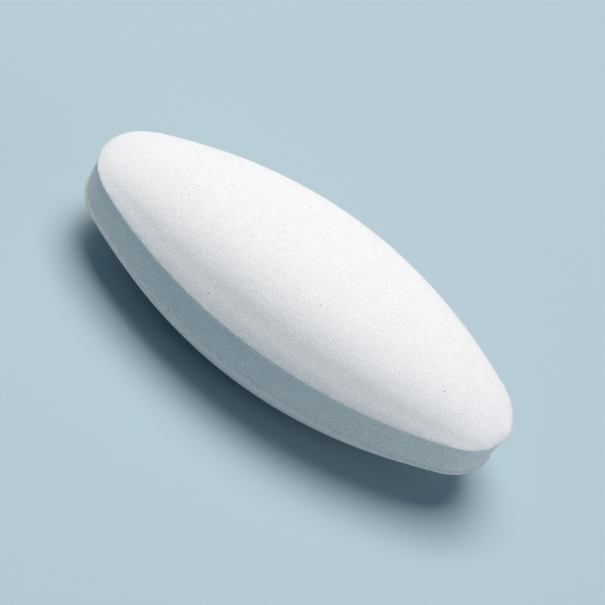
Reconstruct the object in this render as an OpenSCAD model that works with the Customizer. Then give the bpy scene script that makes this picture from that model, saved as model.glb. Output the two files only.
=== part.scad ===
// Pressed oval tablet, uncoated: a straight band all round, with the same
// domed cup pressed into each face. It is one solid, and it rests on the
// crown of its lower face. +X runs along its length and +Z is up.

/* [Plan outline] */
// Length from tip to tip, over the pressed edges
tablet_length = 19; // [15:0.1:24]
// Width at mid-length, over the pressed edges
tablet_width = 8.9; // [6.8:0.1:12]
// Radius of the rounded tips, seen from above
tip_radius = 2.65; // [1:0.05:3.3]

/* [Band] */
// Height of the straight band between the two faces, pressed edges included
band_height = 1.56; // [0.6:0.02:4]
// How far each pressed edge stands out past the band
edge_lip = 0.05; // [0.01:0.01:0.15]
// Height of each pressed edge, before it turns in to the band
edge_lip_height = 0.1; // [0.04:0.01:0.15]

/* [Domed faces] */
// Depth of each cup, from the band's edge to the flat at the crown
cup_depth = 2.26; // [0.8:0.01:4]
// Share of the depth that a plain arc across gives at mid-length; the rest is a full crown
arc_share = 0.41; // [0:0.01:1]
// The same share at the tips
tip_arc_share = 0.84; // [0:0.01:1]
// How full the full crown is: more is flatter in the middle and steeper at the edge
crown_fullness = 5; // [3:0.1:8]
// How fast the cup gets shallow towards the tips: 1 is a plain arc
cup_taper = 0.755; // [0.6:0.005:1.5]
// Half length of the flat at the middle of each crown, where the tablet rests
crown_flat = 1.1; // [0.8:0.05:2]

/* [Facets] */
// Facets along each rounded tip, from the long axis to the side arc
tip_facets = 10; // [4:1:14]
// Facets along each side arc, from the tip to mid-length
side_facets = 16; // [8:1:20]
// Rings from the crown out to the edge
cup_rings = 13; // [6:1:16]

/* [Hidden] */
tablet_color = [0.93, 0.925, 0.93];

half_length = tablet_length / 2;
half_width = tablet_width / 2;

// The outline is four tangent arcs: two small ones about points on the long
// axis, and two large ones about points on the cross axis.
tip_center = half_length - tip_radius;
side_radius = (pow(tip_center, 2) + pow(half_width, 2) - pow(tip_radius, 2))
            / (2 * (half_width - tip_radius));
side_center = side_radius - half_width;
join_angle = atan2(side_center, tip_center);
join_x = tip_center + tip_radius * cos(join_angle);

// The rings lie a little closer together towards the edge
ring_spacing = 0.85;
total_height = band_height + 2 * cup_depth;
band_middle = total_height / 2;
ring_points = 4 * (tip_facets + side_facets);

// One quarter of the outline, from the tip to the end of the short axis,
// moved outwards by grow
function quarter(grow) = concat(
    [for (i = [0 : tip_facets - 1])
        let (a = join_angle * i / tip_facets)
        [tip_center + (tip_radius + grow) * cos(a), (tip_radius + grow) * sin(a)]],
    [for (i = [0 : side_facets - 1])
        let (a = join_angle + (90 - join_angle) * i / side_facets)
        [(side_radius + grow) * cos(a), (side_radius + grow) * sin(a) - side_center]]
);

// The other three quarters are its mirror images, and each starts where the
// last one ends
function quarter_end(grow) = [[0, half_width + grow]];
function quarter_start(grow) = [[half_length + grow, 0]];
function reversed(points) = [for (i = [len(points) - 1 : -1 : 1]) points[i]];
function half(grow) = concat(
    quarter(grow),
    quarter_end(grow),
    [for (p = reversed(quarter(grow))) [-p[0], p[1]]]
);
function outline(grow) = concat(
    half(grow),
    [for (p = half(grow)) [-p[0], -p[1]]]
);

// Half width of the outline at x
function width_at(x) = abs(x) < join_x
    ? sqrt(pow(side_radius, 2) - x * x) - side_center
    : sqrt(max(0, pow(tip_radius, 2) - pow(abs(x) - tip_center, 2)));

// Share of the plain arc at x, from mid-length to the tips
function arc_at(x) = arc_share + (tip_arc_share - arc_share) * pow(x / half_length, 2);

// Cup section across: 1 on the long axis and 0 at the edge, where s is 1
function section(arc, s) = 1 - arc * s * s - (1 - arc) * pow(s, crown_fullness);

// Cup depth along the length: 1 at the end of the crown's flat, 0 at the tips
function arc_height(x) = max(0, 1 - pow(x / half_length, 2));
function spine(x) = pow(arc_height(x) / arc_height(crown_flat), cup_taper);

// Height of the upper face above the edge at a point inside the outline,
// cut off at the flat
function cup_height(p) =
    cup_depth * min(1, spine(p[0]) * section(arc_at(p[0]), abs(p[1]) / width_at(p[0])));

// Ring k of a cup is the outline, drawn in towards the middle: the first one
// bounds the crown's flat, and the last one is the edge
flat_share = crown_flat / half_length;
function ring_share(k) = flat_share
    + (1 - flat_share) * pow((k - 1) / (cup_rings - 1), ring_spacing);
function ring_height(k, p) = k == 1 ? cup_depth : k == cup_rings ? 0 : cup_height(p);
function cup_ring(k) =
    let (t = ring_share(k))
    [for (p = outline(0)) [t * p[0], t * p[1], band_height / 2 + ring_height(k, t * p)]];

// Rings of the upper half, from the crown down to the top of the plain band
lip_bottom = band_height / 2 - edge_lip_height;
upper_rings = concat(
    [for (k = [1 : cup_rings]) cup_ring(k)],
    [[for (p = outline(0)) [p[0], p[1], lip_bottom]]],
    [[for (p = outline(-edge_lip)) [p[0], p[1], lip_bottom - edge_lip]]]
);
all_rings = concat(
    upper_rings,
    [for (k = [len(upper_rings) - 1 : -1 : 0]) [for (p = upper_rings[k]) [p[0], p[1], -p[2]]]]
);

shell_points = concat(
    [[0, 0, total_height]],
    [for (ring = all_rings) for (p = ring) [p[0], p[1], p[2] + band_middle]],
    [[0, 0, 0]]
);
last_point = len(shell_points) - 1;
last_ring = len(all_rings) - 1;

// Index of point i, counted round, on a ring
function at(ring, i) = 1 + ring * ring_points + i % ring_points;

shell_faces = concat(
    [for (i = [0 : ring_points - 1]) [0, at(0, i + 1), at(0, i)]],
    [for (r = [0 : last_ring - 1]) for (i = [0 : ring_points - 1])
        [at(r, i), at(r, i + 1), at(r + 1, i + 1)]],
    [for (r = [0 : last_ring - 1]) for (i = [0 : ring_points - 1])
        [at(r, i), at(r + 1, i + 1), at(r + 1, i)]],
    [for (i = [0 : ring_points - 1]) [last_point, at(last_ring, i), at(last_ring, i + 1)]]
);

// The whole tablet: two cups, their pressed edges and the band
module tablet() {
    color(tablet_color) polyhedron(points = shell_points, faces = shell_faces, convexity = 2);
}

tablet();
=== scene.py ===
import math

import bmesh
import bpy
from mathutils import Matrix, Vector


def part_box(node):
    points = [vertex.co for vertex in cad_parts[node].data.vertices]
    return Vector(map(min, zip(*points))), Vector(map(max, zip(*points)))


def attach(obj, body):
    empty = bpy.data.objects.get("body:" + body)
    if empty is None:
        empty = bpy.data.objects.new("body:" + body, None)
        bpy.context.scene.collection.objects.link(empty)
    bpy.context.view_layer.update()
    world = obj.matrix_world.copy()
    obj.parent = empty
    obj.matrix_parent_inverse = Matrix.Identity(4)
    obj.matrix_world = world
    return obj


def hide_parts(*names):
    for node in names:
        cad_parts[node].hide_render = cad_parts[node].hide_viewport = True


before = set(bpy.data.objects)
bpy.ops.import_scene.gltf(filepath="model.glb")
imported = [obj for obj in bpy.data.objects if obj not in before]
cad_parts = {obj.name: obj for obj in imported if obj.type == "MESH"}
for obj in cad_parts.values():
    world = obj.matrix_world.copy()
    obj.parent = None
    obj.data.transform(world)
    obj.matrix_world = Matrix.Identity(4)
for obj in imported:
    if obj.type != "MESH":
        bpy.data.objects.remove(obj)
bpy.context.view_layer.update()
tabletLow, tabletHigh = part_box("tablet")
tabletMiddle = (tabletLow + tabletHigh) / 2
bpy.ops.object.select_all(action="DESELECT")
mm = 0.001
print("frame loaded, tablet size in mm:", [round(side / mm, 2) for side in tabletHigh - tabletLow])

tablet = {
    "halfLength": (tabletHigh.x - tabletLow.x) / 2,
    "halfWidth": (tabletHigh.y - tabletLow.y) / 2,
    "halfHeight": (tabletHigh.z - tabletLow.z) / 2,
    "tipRadius": 2.65 * mm,      # seen from above
    "bandHeight": 1.56 * mm,     # from one face's edge to the other's
    "lipDepth": 0.05 * mm,       # how far a pressed edge stands out past the band
    "lipHeight": 0.1 * mm,       # of a pressed edge, before it turns in to the band
    "lipRounding": 0.02 * mm,    # of a pressed edge's two corners
    "lipSegments": 2,
    "arcShare": 0.41,            # share of the crown across that is a plain arc, at mid-length
    "tipArcShare": 0.84,         # the same share at the tips
    "crownFullness": 5,          # how flat the rest of the crown is across
    "cupTaper": 0.755,           # how fast the cup gets shallow towards the tips
    "crownFlat": 1.1 * mm,       # half length of the flat at the crown
    "hollowDepth": 0.04 * mm,    # a faint hollow that sets the rim off from the crown
    "hollowAt": 0.89,            # where it lies, as a share of the half width
    "hollowReach": 0.055,        # how wide it is, as the same share
    "tipSteps": 34,              # outline steps round half a tip
    "sideSteps": 70,             # outline steps along half a side
    "cupRings": 80,
    "ringSpacing": 0.9,          # under 1 puts the rings closer together at the edge
    "bandRows": 6,
    "mergeAt": 0.0005 * mm,      # nearer than this, two points are one
    "outlineMargin": 0.002 * mm,  # how far off the outline a point still counts as on it
}


def outlineArcs(shape):
    # four tangent arcs make the outline: two small ones round points on the long axis and two
    # large ones round points on the cross axis, which meet at the last value's angle
    tipCentre = shape["halfLength"] - shape["tipRadius"]
    rise = tipCentre ** 2 + shape["halfWidth"] ** 2 - shape["tipRadius"] ** 2
    sideRadius = rise / (2 * (shape["halfWidth"] - shape["tipRadius"]))
    sideCentre = sideRadius - shape["halfWidth"]
    return tipCentre, sideRadius, sideCentre, math.atan2(sideCentre, tipCentre)


def halfWidthAt(shape, x):
    tipCentre, sideRadius, sideCentre, joinAngle = outlineArcs(shape)
    if abs(x) < tipCentre + shape["tipRadius"] * math.cos(joinAngle):
        return math.sqrt(sideRadius ** 2 - x * x) - sideCentre
    return math.sqrt(max(0, shape["tipRadius"] ** 2 - (abs(x) - tipCentre) ** 2))


def cupHeight(shape, x, y):
    # how high a face stands above its edge, cut off at the crown's flat
    width = halfWidthAt(shape, x)
    if width < shape["mergeAt"]:
        return 0.0
    across = min(1, abs(y) / width)
    along = (x / shape["halfLength"]) ** 2
    arc = shape["arcShare"] + (shape["tipArcShare"] - shape["arcShare"]) * along
    section = 1 - arc * across ** 2 - (1 - arc) * across ** shape["crownFullness"]
    arcHeight = max(0, 1 - along)
    flatHeight = 1 - (shape["crownFlat"] / shape["halfLength"]) ** 2
    spine = (arcHeight / flatHeight) ** shape["cupTaper"]
    hollow = math.exp(-((across - shape["hollowAt"]) / shape["hollowReach"]) ** 2)
    cupDepth = shape["halfHeight"] - shape["bandHeight"] / 2
    return cupDepth * min(1, spine * section) - shape["hollowDepth"] * spine * hollow


def extrudeEdges(scale=(1, 1, 1), move=(0, 0, 0)):
    bpy.ops.mesh.extrude_region_move(TRANSFORM_OT_translate={"value": move})
    bpy.ops.transform.resize(value=scale, center_override=tabletMiddle)


def applyModifier(piece, kind, **settings):
    modifier = piece.modifiers.new(kind.lower(), kind)
    for name, value in settings.items():
        setattr(modifier, name, value)
    bpy.ops.object.modifier_apply(modifier=modifier.name)


def selectEdges(piece, wanted):
    # picks the edges whose two ends both pass
    bpy.ops.mesh.select_all(action="DESELECT")
    bpy.ops.mesh.select_mode(type="EDGE")
    mesh = bmesh.from_edit_mesh(piece.data)
    for edge in mesh.edges:
        edge.select_set(all(wanted(vert.co) for vert in edge.verts))
    bmesh.update_edit_mesh(piece.data)


def buildTablet(shape):
    edgeLevel = shape["bandHeight"] / 2
    tipCentre, sideRadius, sideCentre, joinAngle = outlineArcs(shape)

    # one vertex at the tip, spun round the tip's centre and then the side's: a quarter outline
    bpy.ops.mesh.primitive_plane_add(size=shape["tipRadius"], location=tabletMiddle)
    piece = bpy.context.object
    piece.name = piece.data.name = "pressedTablet"
    bpy.ops.object.mode_set(mode="EDIT")
    bpy.ops.mesh.select_all(action="SELECT")
    bpy.ops.mesh.merge(type="CENTER")
    bpy.ops.transform.translate(value=(shape["halfLength"], 0, edgeLevel))
    bpy.ops.mesh.spin(steps=shape["tipSteps"], angle=joinAngle, axis=(0, 0, -1),
                      center=tabletMiddle + Vector((tipCentre, 0, edgeLevel)))
    bpy.ops.mesh.spin(steps=shape["sideSteps"], angle=math.pi / 2 - joinAngle, axis=(0, 0, -1),
                      center=tabletMiddle + Vector((0, -sideCentre, edgeLevel)))

    # the face: the outline is extruded and drawn in, ring by ring, to the middle
    bpy.ops.mesh.select_all(action="SELECT")
    share = 1.0
    for ring in range(shape["cupRings"] - 1, -1, -1):
        target = (ring / shape["cupRings"]) ** shape["ringSpacing"]
        extrudeEdges(scale=(target / share, target / share, 1))
        share = target or 1.0  # the last ring is drawn in to a point
    bpy.ops.mesh.select_all(action="SELECT")
    bpy.ops.mesh.remove_doubles(threshold=shape["mergeAt"])

    # the pressed edge and the band: the outline again, down to the level of the middle
    def onOutline(place):
        gap = abs(place.y - halfWidthAt(shape, place.x))
        return gap < shape["outlineMargin"] or place.x > shape["halfLength"] - shape["mergeAt"]

    selectEdges(piece, onOutline)
    extrudeEdges(move=(0, 0, -shape["lipHeight"]))
    inset = shape["lipDepth"]
    extrudeEdges(scale=(1 - inset / shape["halfLength"], 1 - inset / shape["halfWidth"], 1),
                 move=(0, 0, -inset))
    plainBand = edgeLevel - shape["lipHeight"] - inset
    for _ in range(shape["bandRows"]):
        extrudeEdges(move=(0, 0, -plainBand / shape["bandRows"]))
    bpy.ops.object.mode_set(mode="OBJECT")

    # the face rises from its edge by the cup's section and spine
    for vert in piece.data.vertices:
        if vert.co.z > edgeLevel - shape["mergeAt"]:
            vert.co.z = edgeLevel + max(0, cupHeight(shape, vert.co.x, vert.co.y))

    # the other seven eighths are mirror images
    applyModifier(piece, "MIRROR", use_axis=(True, True, True), merge_threshold=shape["mergeAt"])
    bpy.ops.object.mode_set(mode="EDIT")
    bpy.ops.mesh.select_all(action="SELECT")
    bpy.ops.mesh.remove_doubles(threshold=shape["mergeAt"])
    bpy.ops.mesh.normals_make_consistent(inside=False)

    # the two corners of each pressed edge are worn round
    def onLip(place):
        level = abs(place.z)
        cornerLevels = (edgeLevel, edgeLevel - shape["lipHeight"])
        return min(abs(level - corner) for corner in cornerLevels) < shape["mergeAt"] and \
            onOutline(Vector((abs(place.x), abs(place.y), 0)))

    selectEdges(piece, onLip)
    mesh = bmesh.from_edit_mesh(piece.data)
    for edge in mesh.edges:
        if edge.select and abs(edge.verts[0].co.z - edge.verts[1].co.z) > shape["mergeAt"]:
            edge.select_set(False)  # the short upright edges between the corners
    bmesh.update_edit_mesh(piece.data)
    bpy.ops.mesh.bevel(offset=shape["lipRounding"], segments=shape["lipSegments"], profile=0.5,
                       affect="EDGES")
    bpy.ops.object.mode_set(mode="OBJECT")
    return piece


pressedTablet = buildTablet(tablet)
print("tablet shaped:", len(pressedTablet.data.polygons), "faces")

wear = {
    "edgeReach": 0.16 * mm,      # how far from a pressed edge its wear is felt
    "edgeDepth": 0.035 * mm,     # how far the pressed edges wander in and out
    "edgeGrain": 0.4 * mm,       # size of that wander
    "skinDepth": 0.014 * mm,     # faint unevenness all over
    "skinGrain": 1.4 * mm,
    "pittingDepth": 0.004 * mm,
    "pittingGrain": 0.2 * mm,
    "grainLevels": 1,            # how many finer noises are laid over each of these three
    "sharpestSmooth": 50,        # degrees; sharper edges keep their crease
    # powder squeezed out past the upper edge: place from the middle, reach, depth
    "flashes": [
        ((9.5 * mm, 0.1 * mm, 0.72 * mm), 0.65 * mm, 0.07 * mm),
        ((-8.33 * mm, 2.2 * mm, 0.77 * mm), 0.22 * mm, 0.07 * mm),
        ((-8.85 * mm, 1.75 * mm, 0.77 * mm), 0.15 * mm, 0.02 * mm),
    ],
    "flashLean": 2,              # turns a flash's direction towards the side it is on
}


def wearTablet(piece, shape, amounts):
    edgeLevel = shape["bandHeight"] / 2
    edges = piece.vertex_groups.new(name="pressedEdges")
    for vert in piece.data.vertices:
        across = halfWidthAt(shape, min(abs(vert.co.x), shape["halfLength"])) - abs(vert.co.y)
        level = abs(abs(vert.co.z) - edgeLevel)
        away = math.hypot(max(0, across), level)
        weight = max(0, 1 - away / amounts["edgeReach"])
        if weight > 0:
            edges.add([vert.index], weight, "REPLACE")
        for place, reach, depth in amounts["flashes"]:
            near = 1 - (vert.co - Vector(place)).length / reach
            if near > 0 and vert.co.z > edgeLevel - shape["lipHeight"] - shape["mergeAt"]:
                outwards = Vector((place[0], place[1] * amounts["flashLean"], 0)).normalized()
                vert.co += outwards * depth * near * near * (3 - 2 * near)
    for kind in ("edge", "skin", "pitting"):
        grain = bpy.data.textures.new(kind + "Grain", "CLOUDS")
        grain.noise_scale = amounts[kind + "Grain"]
        grain.noise_depth = amounts["grainLevels"]
        applyModifier(piece, "DISPLACE", texture=grain, texture_coords="LOCAL", direction="NORMAL",
                      strength=amounts[kind + "Depth"], mid_level=0.5,
                      vertex_group=edges.name if kind == "edge" else "")
    bpy.ops.object.transform_apply(location=True, rotation=False, scale=False)
    bpy.ops.object.shade_smooth_by_angle(angle=math.radians(amounts["sharpestSmooth"]))


wearTablet(pressedTablet, tablet, wear)
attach(pressedTablet, "root")
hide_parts("tablet")
print("tablet worn and placed")

powder = {
    "tint": (0.90, 0.89, 0.90, 1),
    "hollowTint": (0.665, 0.665, 0.68, 1),  # between the grains
    "bandTint": (0.95, 0.95, 0.96, 1),  # the band is as white, but rubbed coarser by the die
    "bandHollowTint": (0.53, 0.54, 0.55, 1),
    "bandLevel": 0.77 * mm,      # half height of the band, just inside its edges
    "bandFade": 0.94,            # share of that height where the band's finish is whole
    "speckTint": (0.26, 0.24, 0.23, 1),
    "grainSize": 0.06 * mm,
    "grainWeight": 0.45,         # beside the fine grain's 1
    "grainDetail": 2.0,
    "grainRoughness": 0.6,
    "fineGrainSize": 0.035 * mm,
    "fineGrainDetail": 1.0,
    "mottleSize": 0.8 * mm,
    "mottleWeight": 0.1,
    "mottleDetail": 3.0,
    "lowGrain": 0.5,             # the summed grain that is all hollow
    "highGrain": 0.95,           # and the one that is all raised
    "speckSpacing": 0.7 * mm,
    "speckRadius": 0.055,        # as a share of the spacing
    "speckCore": 0.4,            # share of the radius that is fully dark
    "speckShare": 0.85,          # share of the cells that hold a speck
    "bumpDepth": 0.017 * mm,
    "roughness": 0.9,
    "specular": 0.25,
    # painted shade: a thin dark line under the upper pressed edge, where the lip's shadow falls
    "creaseLevel": 0.63 * mm,    # just under the upper pressed edge, from the middle
    "creaseReach": 0.06 * mm,
    "paintedCreaseShade": 0.14,         # how much of the painted crease shade's dark tint its middle takes
    "paintedCreaseShadeTint": (0.2, 0.2, 0.22, 1),
}


def makePowder(finish):
    material = bpy.data.materials.new("pressedPowder")
    material.use_nodes = True
    nodes = material.node_tree.nodes
    links = material.node_tree.links
    nodes.clear()

    def feed(socket, value):
        # another node's output is linked, and a plain value is set
        if isinstance(value, bpy.types.NodeSocket):
            links.new(value, socket)
        else:
            socket.default_value = value

    def add(kind, **values):
        # a node with its sockets fed by name, a space in the name written as _
        node = nodes.new(kind)
        for name, value in values.items():
            feed(node.inputs[name.replace("_", " ")], value)
        return node

    def calculate(operation, *values):
        node = nodes.new("ShaderNodeMath")
        node.operation = operation
        for socket, value in zip(node.inputs, values):
            feed(socket, value)
        return node.outputs["Value"]

    def ramp(value, low, high):
        node = add("ShaderNodeMapRange", Value=value, From_Min=low, From_Max=high)
        return node.outputs["Result"]

    def blend(factor, first, second):
        node = nodes.new("ShaderNodeMix")
        node.data_type = "RGBA"
        feed(node.inputs["Factor"], factor)
        feed(node.inputs[6], first)   # by number, as the node has A and B more than once
        feed(node.inputs[7], second)
        return node.outputs[2]

    place = nodes.new("ShaderNodeTexCoord").outputs["Object"]
    grain = add("ShaderNodeTexNoise", Vector=place, Scale=1 / finish["grainSize"],
                Detail=finish["grainDetail"], Roughness=finish["grainRoughness"])
    fine = add("ShaderNodeTexNoise", Vector=place, Scale=1 / finish["fineGrainSize"],
               Detail=finish["fineGrainDetail"])
    mottle = add("ShaderNodeTexNoise", Vector=place, Scale=1 / finish["mottleSize"],
                 Detail=finish["mottleDetail"])

    # powder colour: darker in the hollows between grains and in faint patches, coarser on the band
    grains = calculate("MULTIPLY_ADD", grain.outputs["Fac"], finish["grainWeight"],
                       fine.outputs["Fac"])
    patchy = calculate("MULTIPLY_ADD", mottle.outputs["Fac"], finish["mottleWeight"], grains)
    height = add("ShaderNodeSeparateXYZ", Vector=place).outputs["Z"]
    level = calculate("ABSOLUTE", calculate("SUBTRACT", height, tabletMiddle.z))
    onBand = ramp(level, finish["bandLevel"], finish["bandLevel"] * finish["bandFade"])
    hollow = blend(onBand, finish["hollowTint"], finish["bandHollowTint"])
    raised = blend(onBand, finish["tint"], finish["bandTint"])
    colour = blend(ramp(patchy, finish["lowGrain"], finish["highGrain"]), hollow, raised)

    # sparse dark specks, one in some of the cells
    cells = add("ShaderNodeTexVoronoi", Vector=place, Scale=1 / finish["speckSpacing"])
    core = finish["speckRadius"] * finish["speckCore"]
    near = ramp(cells.outputs["Distance"], finish["speckRadius"], core)
    cellParts = add("ShaderNodeSeparateColor", Color=cells.outputs["Color"])
    chosen = calculate("LESS_THAN", cellParts.outputs["Red"], finish["speckShare"])
    colour = blend(calculate("MULTIPLY", near, chosen), colour, finish["speckTint"])

    # painted shade: a thin dark line in the crease under the upper pressed edge, where the lip's
    # shadow falls
    above = calculate("SUBTRACT", height, tabletMiddle.z + finish["creaseLevel"])
    inPaintedShade = ramp(calculate("ABSOLUTE", above), finish["creaseReach"], 0.0)
    paintedShade = calculate("MULTIPLY", inPaintedShade, finish["paintedCreaseShade"])
    colour = blend(paintedShade, colour, finish["paintedCreaseShadeTint"])

    bump = add("ShaderNodeBump", Strength=1.0, Distance=finish["bumpDepth"], Height=grains)
    surface = add("ShaderNodeBsdfPrincipled", Roughness=finish["roughness"], Base_Color=colour,
                  Specular_IOR_Level=finish["specular"], Normal=bump.outputs["Normal"])
    add("ShaderNodeOutputMaterial", Surface=surface.outputs["BSDF"])
    return material


pressedTablet.data.materials.clear()
pressedTablet.data.materials.append(makePowder(powder))
print("powder finish made")

studio = {
    "floorSize": 6.0,
    "floorGrid": 8,
    "floorTint": (0.40, 0.51, 0.56, 1),
    "floorRoughness": 0.8,
    "floorSpecular": 0.2,
    "skyTint": (0.2, 0.65, 0.97, 1),
    "skyStrength": 0.12,
    "lights": {                  # azimuth is degrees round from +X, towards +Y behind the tablet
        "keyLight": {"power": 1.53, "azimuth": 138, "elevation": 74.5, "size": 0.25,
                     "distance": 0.35, "tint": (1.045, 1.0, 0.965)},
        "fillLight": {"power": 0.37, "azimuth": 358, "elevation": 10, "size": 0.25,
                      "distance": 0.35, "tint": (0.98, 0.98, 1.0)},
    },
}
view = {
    "lens": 112.0,
    "sensor": 36.0,
    "distance": 72.44 * mm,
    "elevation": 42.0,
    "azimuth": 4.66,             # turned this far towards +X from straight in front
    "roll": 33.21,
    "offset": (-0.164 * mm, 0.100 * mm),  # of the tablet in the picture
    "nearest": 0.001,
    "farthest": 50,
}


def makeStudio(settings):
    bpy.ops.mesh.primitive_grid_add(x_subdivisions=settings["floorGrid"],
                                    y_subdivisions=settings["floorGrid"],
                                    size=settings["floorSize"])
    floor = bpy.context.object
    floor.name = floor.data.name = "floor"
    material = bpy.data.materials.new("paleFloor")
    material.use_nodes = True
    surface = material.node_tree.nodes["Principled BSDF"]
    surface.inputs["Base Color"].default_value = settings["floorTint"]
    surface.inputs["Roughness"].default_value = settings["floorRoughness"]
    surface.inputs["Specular IOR Level"].default_value = settings["floorSpecular"]
    floor.data.materials.append(material)

    world = bpy.data.worlds.new("studioSky")
    bpy.context.scene.world = world
    world.use_nodes = True
    sky = world.node_tree.nodes["Background"]
    sky.inputs["Color"].default_value = settings["skyTint"]
    sky.inputs["Strength"].default_value = settings["skyStrength"]

    for name, lamp in settings["lights"].items():
        elevation, azimuth = math.radians(lamp["elevation"]), math.radians(lamp["azimuth"])
        direction = Vector((math.cos(azimuth) * math.cos(elevation),
                            math.sin(azimuth) * math.cos(elevation), math.sin(elevation)))
        bpy.ops.object.light_add(type="AREA", location=tabletMiddle + direction * lamp["distance"])
        light = bpy.context.object
        light.name = light.data.name = name
        light.rotation_euler = direction.to_track_quat("Z", "Y").to_euler()
        light.data.energy = lamp["power"]
        light.data.size = lamp["size"]
        light.data.color = lamp["tint"]


def placeCamera(settings):
    azimuth = math.radians(settings["azimuth"])
    elevation = math.radians(settings["elevation"])
    roll = math.radians(settings["roll"])
    back = Vector((math.sin(azimuth) * math.cos(elevation),
                   -math.cos(azimuth) * math.cos(elevation), math.sin(elevation)))
    right = Vector((math.cos(azimuth), math.sin(azimuth), 0))
    up = back.cross(right)
    rolledRight = right * math.cos(roll) + up * math.sin(roll)
    rolledUp = up * math.cos(roll) - right * math.sin(roll)
    acrossOffset, upOffset = settings["offset"]
    location = tabletMiddle + back * settings["distance"]
    location = location - rolledRight * acrossOffset - rolledUp * upOffset
    bpy.ops.object.camera_add()
    camera = bpy.context.object
    camera.name = camera.data.name = "camera"
    camera.data.lens = settings["lens"]
    camera.data.sensor_width = settings["sensor"]
    camera.data.clip_start = settings["nearest"]
    camera.data.clip_end = settings["farthest"]
    camera.matrix_world = Matrix.Translation(location) @ \
        Matrix((rolledRight, rolledUp, back)).transposed().to_4x4()
    bpy.context.scene.camera = camera


makeStudio(studio)
placeCamera(view)
bpy.context.scene.view_settings.view_transform = "Standard"
print("studio lit, camera placed")
